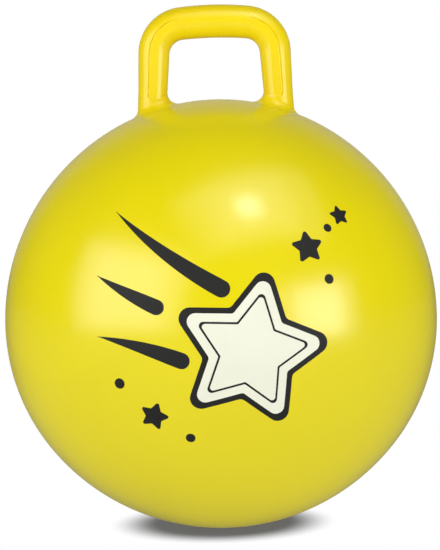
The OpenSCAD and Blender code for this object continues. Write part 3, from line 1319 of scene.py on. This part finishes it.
@dataclass(frozen=True)
class Tail:
    """A bent stroke that starts round and tapers to a point."""

    start: Point
    heading: float
    length: float
    bend: float
    width: float
    taper: float = 1.6
    least_half: float = 0.3
    steps: int = 48
    cap_points: int = 12

    def outline(self) -> np.ndarray:
        """Draws the stroke.

        Returns:
            Its outline, in metres.
        """
        t = np.linspace(0.0, 1.0, self.steps)
        angle = np.radians(self.heading + self.bend * (t - 0.5))
        ahead = np.column_stack([np.cos(angle), np.sin(angle)])
        path = np.array(self.start) + np.vstack([[0.0, 0.0], np.cumsum(ahead[:-1], axis=0)]) * self.length / self.steps
        left = np.column_stack([-ahead[:, 1], ahead[:, 0]])
        half = np.maximum(self.width / 2 * (1.0 - t**self.taper), self.least_half)[:, None]
        back = np.linspace(-math.pi / 2, math.pi / 2, self.cap_points + 2)[1:-1]
        cap = path[0] - np.outer(np.cos(back), ahead[0]) * half[0] + np.outer(np.sin(back), left[0]) * half[0]
        return np.vstack([path + left * half, (path - left * half)[::-1], cap]) * MM


def rounded(corners: np.ndarray, radii: Sequence[float], steps: int = 8) -> np.ndarray:
    """Rounds the corners of an outline.

    Args:
        corners: Corner points in order.
        radii: Rounding of each corner.
        steps: Points on each rounding.

    Returns:
        The rounded outline.
    """
    points = []
    for i, corner in enumerate(corners):
        before = unit(corners[i - 1] - corner)
        after = unit(corners[(i + 1) % len(corners)] - corner)
        half = math.acos(float(before @ after)) / 2
        centre = corner + unit(before + after) * radii[i] / math.sin(half)
        first = corner + before * radii[i] / math.tan(half) - centre
        last = corner + after * radii[i] / math.tan(half) - centre
        sweep = math.pi - 2 * half
        for t in np.linspace(0.0, 1.0, steps):
            points.append(centre + (first * math.sin((1 - t) * sweep) + last * math.sin(t * sweep)) / math.sin(sweep))
    return np.array(points)


def resampled(outline: np.ndarray, step: float) -> np.ndarray:
    """Adds points along the sides of an outline.

    Args:
        outline: The outline's corners.
        step: Greatest distance between points.

    Returns:
        The outline with the added points.
    """
    points = []
    for start, end in zip(outline, np.roll(outline, -1, axis=0)):
        count = max(1, math.ceil(math.dist(start, end) / step))
        points += [start + (end - start) * k / count for k in range(count)]
    return np.array(points)


@dataclass
class StarPrint:
    """The printed front: a big outlined star that trails three tails, among small stars and dots. Its layout is in
    millimetres on the ball's unrolled front, from the middle of the print."""

    form: BallForm
    tilt: float = math.radians(6)
    grid: float = 4 * MM
    rim_gap: float = 1 / 3
    weld: float = 1e-9
    sharp_edge: float = math.radians(30)
    first_lift: float = 0.08 * MM
    layer_lift: float = 0.06 * MM
    under: float = 0.05 * MM
    star_tips: int = 5
    centre: Point = (28, -36)
    radius: float = 78
    waist: float = 0.52
    turn: float = -12
    tip: float = 8
    small_tip: float = 1 / 9
    waist_rounding: float = 0.6
    dot_points: int = 32
    edge: float = 5.5
    line_inset: float = 8
    line: float = 2
    tails: tuple[Tail, ...] = (
        Tail((1, 25), heading=141, length=142, bend=-18, width=17),
        Tail((-62, 9), heading=151, length=74, bend=-8, width=15),
        Tail((-39, -43), heading=164, length=92, bend=10, width=16),
    )
    small_stars: tuple[tuple[float, float, float, float], ...] = (
        (88, 66, 19, 8), (-70, -100, 17, -20), (128, 104, 13, 14),
    )
    dots: tuple[tuple[float, float, float], ...] = ((112, 88, 4.5), (109, 34, 5), (-104, -66, 5.5), (-34, -124, 5))

    def star(self, centre: Point, radius: float, turn: float, tip: float) -> np.ndarray:
        """Draws a five-pointed star.

        Args:
            centre: Its middle.
            radius: Distance of its tips before they are rounded.
            turn: Turn from upright, in degrees.
            tip: Rounding of its tips.

        Returns:
            Its outline, in metres.
        """
        numbers = np.arange(2 * self.star_tips)
        angles = np.radians(90 + turn + 180 / self.star_tips * numbers)
        reach = radius * np.where(numbers % 2 == 0, 1.0, self.waist)
        corners = np.array(centre) + np.column_stack([np.cos(angles), np.sin(angles)]) * reach[:, None]
        return rounded(corners, [tip, tip * self.waist_rounding] * self.star_tips) * MM

    def grown(self, step: float) -> float:
        """Tip distance of the big star when its sides move out.

        Args:
            step: How far its sides move.

        Returns:
            The distance of its tips before they are rounded.
        """
        turn = math.pi / self.star_tips
        side = math.sqrt(1 + self.waist**2 - 2 * self.waist * math.cos(turn))
        inner = self.radius * self.waist * math.sin(turn) / side
        return self.radius * (1 + step / inner)

    def films(self) -> list[Film]:
        """Lists the printed shapes.

        Returns:
            The shapes, from the skin out.
        """
        steps = (self.edge, 0.0, -self.line_inset, -self.line_inset - self.line)
        names = ("print_star_edge", "print_star_fill", "print_star_line", "print_star_heart")
        inks = (Ink.BLACK, Ink.CREAM, Ink.BLACK, Ink.CREAM)
        made = [
            Film(name, self.star(self.centre, self.grown(step), self.turn, self.tip + step / 2), ink, layer)
            for layer, (name, step, ink) in enumerate(zip(names, steps, inks))
        ]
        made += [Film(f"print_tail_{i}", tail.outline(), Ink.BLACK) for i, tail in enumerate(self.tails, 1)]
        for i, (x, y, radius, turn) in enumerate(self.small_stars, 1):
            outline = self.star((x, y), radius, turn, radius * self.small_tip)
            made.append(Film(f"print_small_star_{i}", outline, Ink.BLACK))
        around = np.linspace(0.0, 2 * math.pi, self.dot_points, endpoint=False)
        for i, (x, y, radius) in enumerate(self.dots, 1):
            ring = np.column_stack([x + radius * np.cos(around), y + radius * np.sin(around)]) * MM
            made.append(Film(f"print_dot_{i}", ring, Ink.BLACK))
        return made

    def wrap(self, flat: np.ndarray, lift: float) -> np.ndarray:
        """Lays points of the unrolled front onto the ball.

        Args:
            flat: Points [right, up] from the middle of the print.
            lift: Height over the skin.

        Returns:
            The points in the frame.
        """
        reach = np.hypot(flat[:, 0], flat[:, 1])
        bend = reach / self.form.radius
        share = np.sin(bend) / np.maximum(reach, TINY)
        ahead = np.array([0.0, -math.cos(self.tilt), math.sin(self.tilt)])
        upward = np.array([0.0, math.sin(self.tilt), math.cos(self.tilt)])
        directions = np.outer(np.cos(bend), ahead) + np.outer(flat[:, 1] * share, upward)
        directions[:, 0] += flat[:, 0] * share
        points, normals = self.form.place(unit(directions))
        return points + lift * normals

    @staticmethod
    def within(points: np.ndarray, outline: np.ndarray, margin: float) -> np.ndarray:
        """Tells which points lie inside an outline and clear of its edge.

        Args:
            points: The points.
            outline: The outline's corners.
            margin: Least distance from the corners.

        Returns:
            Whether each point lies inside.
        """
        ends = np.roll(outline, -1, axis=0)
        x, y = points[:, :1], points[:, 1:]
        spans = (outline[:, 1] > y) != (ends[:, 1] > y)
        run = ends - outline
        slope = run[:, 0] / np.where(run[:, 1] == 0.0, TINY, run[:, 1])
        inside = (spans & (x < outline[:, 0] + slope * (y - outline[:, 1]))).sum(axis=1) % 2 == 1
        t = ((x - outline[:, 0]) * run[:, 0] + (y - outline[:, 1]) * run[:, 1]) / (run**2).sum(axis=1)
        t = np.clip(t, 0.0, 1.0)
        gap = np.hypot(x - outline[:, 0] - t * run[:, 0], y - outline[:, 1] - t * run[:, 1]).min(axis=1)
        return inside & (gap > margin)

    def film_piece(self, film: Film) -> bpy.types.Object:
        """Makes a thin closed film of ink on the ball.

        Args:
            film: The shape.

        Returns:
            The piece.
        """
        rim = resampled(film.outline, self.grid)
        spans = [np.arange(a, b, self.grid) for a, b in zip(rim.min(axis=0), rim.max(axis=0))]
        grid = np.stack(np.meshgrid(*spans), axis=-1).reshape(-1, 2)
        grid = grid[self.within(grid, rim, self.grid * self.rim_gap)]
        flat = [Vector(p) for p in np.vstack([rim, grid])]
        edges = [(i, (i + 1) % len(rim)) for i in range(len(rim))]
        found, _, triangles, *_ = delaunay_2d_cdt(flat, edges, [], 1, self.weld)
        spots = np.array([tuple(v) for v in found])
        count = len(spots)
        top = self.wrap(spots, self.first_lift + film.layer * self.layer_lift)
        under = self.wrap(spots, -self.under)
        faces = [list(t) for t in triangles] + [[count + i for i in reversed(t)] for t in triangles]
        sides: dict[tuple[int, int], None] = {}
        for t in triangles:
            for pair in zip(t, [*t[1:], t[0]]):
                if pair[::-1] in sides:
                    del sides[pair[::-1]]
                else:
                    sides[pair] = None
        faces += [[b, a, count + a, count + b] for a, b in sides]
        piece = make_piece(film.name, np.vstack([top, under]), faces)
        piece.data.set_sharp_from_angle(angle=self.sharp_edge)
        return piece

    def build(self) -> list[tuple[bpy.types.Object, Film]]:
        """Makes a piece for each printed shape."""
        return [(self.film_piece(film), film) for film in self.films()]

    def dress(self, pieces: list[tuple[bpy.types.Object, Film]], groups: SurfaceGroups) -> None:
        """Finishes the films and seats them on the frame.

        Args:
            pieces: Each piece and its printed shape.
            groups: Shared node groups.
        """
        inks = {ink: ink.value.material(groups) for ink in Ink}
        for piece, film in pieces:
            seat_piece(piece, Body.BALL, inks[film.ink])


@dataclass(frozen=True)
class SoftBox:
    """A rectangular studio light that faces the middle of the ball."""

    name: str
    direction: tuple[float, float, float]
    distance: float
    size: Point
    radiance: float
    aim: tuple[float, float, float] = (0.0, 0.0, 0.25)

    def build(self) -> bpy.types.Object:
        """Makes the light.

        Returns:
            The light's object.
        """
        lamp = bpy.data.lights.new(self.name, "AREA")
        lamp.shape = "RECTANGLE"
        lamp.size, lamp.size_y = self.size
        lamp.energy = self.radiance * math.pi * self.size[0] * self.size[1]
        stand = bpy.data.objects.new(self.name, lamp)
        out = Vector(self.direction).normalized()
        stand.location = Vector(self.aim) + self.distance * out
        stand.rotation_euler = out.to_track_quat("Z", "Y").to_euler()
        stand.visible_camera = False
        bpy.context.scene.collection.objects.link(stand)
        return stand


@dataclass
class Studio:
    """White studio: a floor with a painted shadow (a dark grey disc round the ball's contact, with some real shade in
    it) that is white further out, soft boxes, a white surround and the camera."""

    boxes: tuple[SoftBox, ...] = (
        SoftBox("top_box", (0.255, -0.446, 0.858), distance=1.85, size=(2.3, 1.35), radiance=0.8),
        SoftBox("top_core", (0.24, -0.46, 0.855), distance=1.8, size=(1.3, 0.95), radiance=0.9),
        SoftBox("top_spot", (0.228, -0.484, 0.845), distance=1.75, size=(0.3, 0.3), radiance=9.0),
        SoftBox("left_box", (-0.73, -0.62, 0.291), distance=1.85, size=(2.1, 1.3), radiance=1.85),
        SoftBox("left_core", (-0.74, -0.62, 0.27), distance=1.8, size=(1.3, 1.0), radiance=1.5),
        SoftBox("right_box", (0.729, -0.68, 0.1), distance=1.85, size=(1.6, 0.78), radiance=1.6),
        SoftBox("right_core", (0.76, -0.64, 0.08), distance=1.8, size=(0.8, 0.66), radiance=4.1),
    )
    ambient: float = 0.07
    back_light: tuple[float, float] = (0.4, 0.6)
    dim_share: float = 0.3
    haze: tuple[float, float] = (0.75, 1.096)
    haze_level: float = 0.45
    haze_lift: float = 0.3
    floor_half: float = 20.0
    # painted shadow tone: a dark grey floor albedo and a faint bluish glow that the camera and mirrors see, which set
    # the shadow disc's grey and take out the yellow of the ball's bounce
    painted_shadow_albedo: Colour = (0.1, 0.11, 0.12)
    painted_shadow_glow: Colour = (0.075, 0.075, 0.11)
    table_glow: float = 0.87
    table_shine: float = 0.07
    table_reach: tuple[float, float] = (0.3, 0.9)
    # painted shadow: the floor is a dark grey disc round this point, turning white between the two reaches
    painted_shadow_centre: tuple[float, float, float] = (-0.003, 0.004, 0.0)
    painted_shadow_reach: tuple[float, float] = (0.068, 0.122)
    distance: float = 2.3
    elevation: float = math.radians(4)
    roll: float = math.radians(-1.4)
    view_height: float = 575.2 * MM
    target: tuple[float, float, float] = (0.0, 0.0, 262 * MM)

    def build(self) -> None:
        """Sets up the whole studio."""
        self.colour_management()
        self.world()
        self.floor()
        [box.build() for box in self.boxes]
        self.camera()

    @staticmethod
    def colour_management() -> None:
        """Shows colours as they are."""
        bpy.context.scene.view_settings.view_transform = "Standard"

    def world(self) -> None:
        """Sets white behind all that the camera sees, a soft haze of it in reflections, and a dim studio on the side of
        the lamps."""
        made = bpy.data.worlds.new("studio_white")
        bpy.context.scene.world = made
        board = NodeBoard.of(made)
        way = board.add("ShaderNodeSeparateXYZ", Vector=board.add("ShaderNodeTexCoord").outputs["Generated"])
        path = board.add("ShaderNodeLightPath").outputs
        raised = board.math("MULTIPLY_ADD", way.outputs["Z"], self.haze_lift, way.outputs["Y"])
        behind = board.span(raised, *self.haze, 0.0, self.haze_level)
        onto_back = board.span(way.outputs["Y"], *self.back_light, 0.0, 1.0)
        spread = board.math("MULTIPLY", path["Is Diffuse Ray"], onto_back)
        seen = board.math("MAXIMUM", self.seen_directly(board, behind), spread)
        dim = board.span(path["Is Glossy Ray"], 0.0, 1.0, self.ambient, self.ambient * self.dim_share)
        strength = board.math("MAXIMUM", seen, dim)
        white = board.add("ShaderNodeBackground", Color=(1.0, 1.0, 1.0, 1.0), Strength=strength)
        board.add("ShaderNodeOutputWorld", Surface=white.outputs[0])

    @staticmethod
    def seen_directly(board: NodeBoard, share: object = 1.0) -> bpy.types.NodeSocket:
        """Tells rays of the camera, and those that a mirror or glass sends on, from the rest.

        Args:
            board: The board of the material or world.
            share: How much a mirror or glass shows of it.

        Returns:
            The socket of the mask.
        """
        path = board.add("ShaderNodeLightPath").outputs
        sent_on = board.math("MAXIMUM", path["Is Glossy Ray"], path["Is Transmission Ray"])
        return board.math("MAXIMUM", path["Is Camera Ray"], board.math("MULTIPLY", sent_on, share))

    def floor(self) -> bpy.types.Object:
        """Makes the floor. Round the ball's contact it paints a shadow: a dark grey disc, lifted and tinted bluish for
        the camera, in which only the diffuse part takes real shade; further out it is white.

        Returns:
            The floor's object.
        """
        h = self.floor_half
        floor = make_piece("floor", np.array([[-h, -h, 0], [h, -h, 0], [h, h, 0], [-h, h, 0]]), [[0, 1, 2, 3]])
        made = bpy.data.materials.new("studio_floor")
        board = NodeBoard.of(made)
        place = board.add("ShaderNodeTexCoord").outputs["Object"]
        away = board.add("ShaderNodeVectorMath", {"operation": "DISTANCE"})
        board.feed(away.inputs[0], place)
        board.feed(away.inputs[1], self.painted_shadow_centre)
        # painted shadow: dark grey floor inside the first reach, white beyond the second, round a set point by the
        # contact
        far = board.span(away.outputs["Value"], *self.painted_shadow_reach, 0.0, 1.0)
        table = board.span(away.outputs["Value"], *self.table_reach, self.table_shine, 0.0)
        seen = self.seen_directly(board, table)
        # painted shadow tone: dark grey diffuse floor, whose real shade varies with the light, plus a bluish glow for
        # the camera and mirrors that sets the disc's grey
        matt = board.add("ShaderNodeBsdfDiffuse", Color=(*self.painted_shadow_albedo, 1.0))
        glow = board.add("ShaderNodeEmission", Color=(*self.painted_shadow_glow, 1.0), Strength=self.seen_directly(board))
        spread = board.add("ShaderNodeLightPath").outputs["Is Diffuse Ray"]
        bounce = board.add("ShaderNodeEmission", Strength=board.math("MULTIPLY", spread, self.table_glow))
        lift = board.join("ShaderNodeAddShader", glow.outputs[0], bounce.outputs[0])
        near = board.join("ShaderNodeAddShader", matt.outputs[0], lift)
        white = board.add("ShaderNodeEmission", Strength=1.0)
        whole = board.join("ShaderNodeMixShader", near, white.outputs[0], Fac=board.math("MULTIPLY", far, seen))
        board.add("ShaderNodeOutputMaterial", Surface=whole)
        floor.data.materials.append(made)
        return floor

    def camera(self) -> bpy.types.Object:
        """Sets the camera in front of the print.

        Returns:
            The camera's object.
        """
        lens = bpy.data.cameras.new("photo_camera")
        lens.lens = lens.sensor_width * self.distance / self.view_height
        seat = bpy.data.objects.new("photo_camera", lens)
        out = Vector((0.0, -math.cos(self.elevation), math.sin(self.elevation)))
        turned = out.to_track_quat("Z", "Y").to_matrix().to_4x4() @ Matrix.Rotation(self.roll, 4, "Z")
        seat.matrix_world = Matrix.Translation(Vector(self.target) + self.distance * out) @ turned
        bpy.context.scene.collection.objects.link(seat)
        bpy.context.scene.camera = seat
        return seat


def main() -> None:
    """Builds and dresses each sub-assembly, then sets the studio."""
    low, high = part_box("ball_skin")
    form = BallForm(radius=(high.x - low.x) / 2)
    valve = ValveAxis(form)
    handle = Handle(form)
    groups = SurfaceGroups()
    parts = (Ball(form, valve), handle, PartingSeam(form, handle), ValveSeat(valve), ValvePlug(valve), StarPrint(form))
    for part in parts:
        part.dress(part.build(), groups)
    Studio().build()


if __name__ == "__main__":
    main()
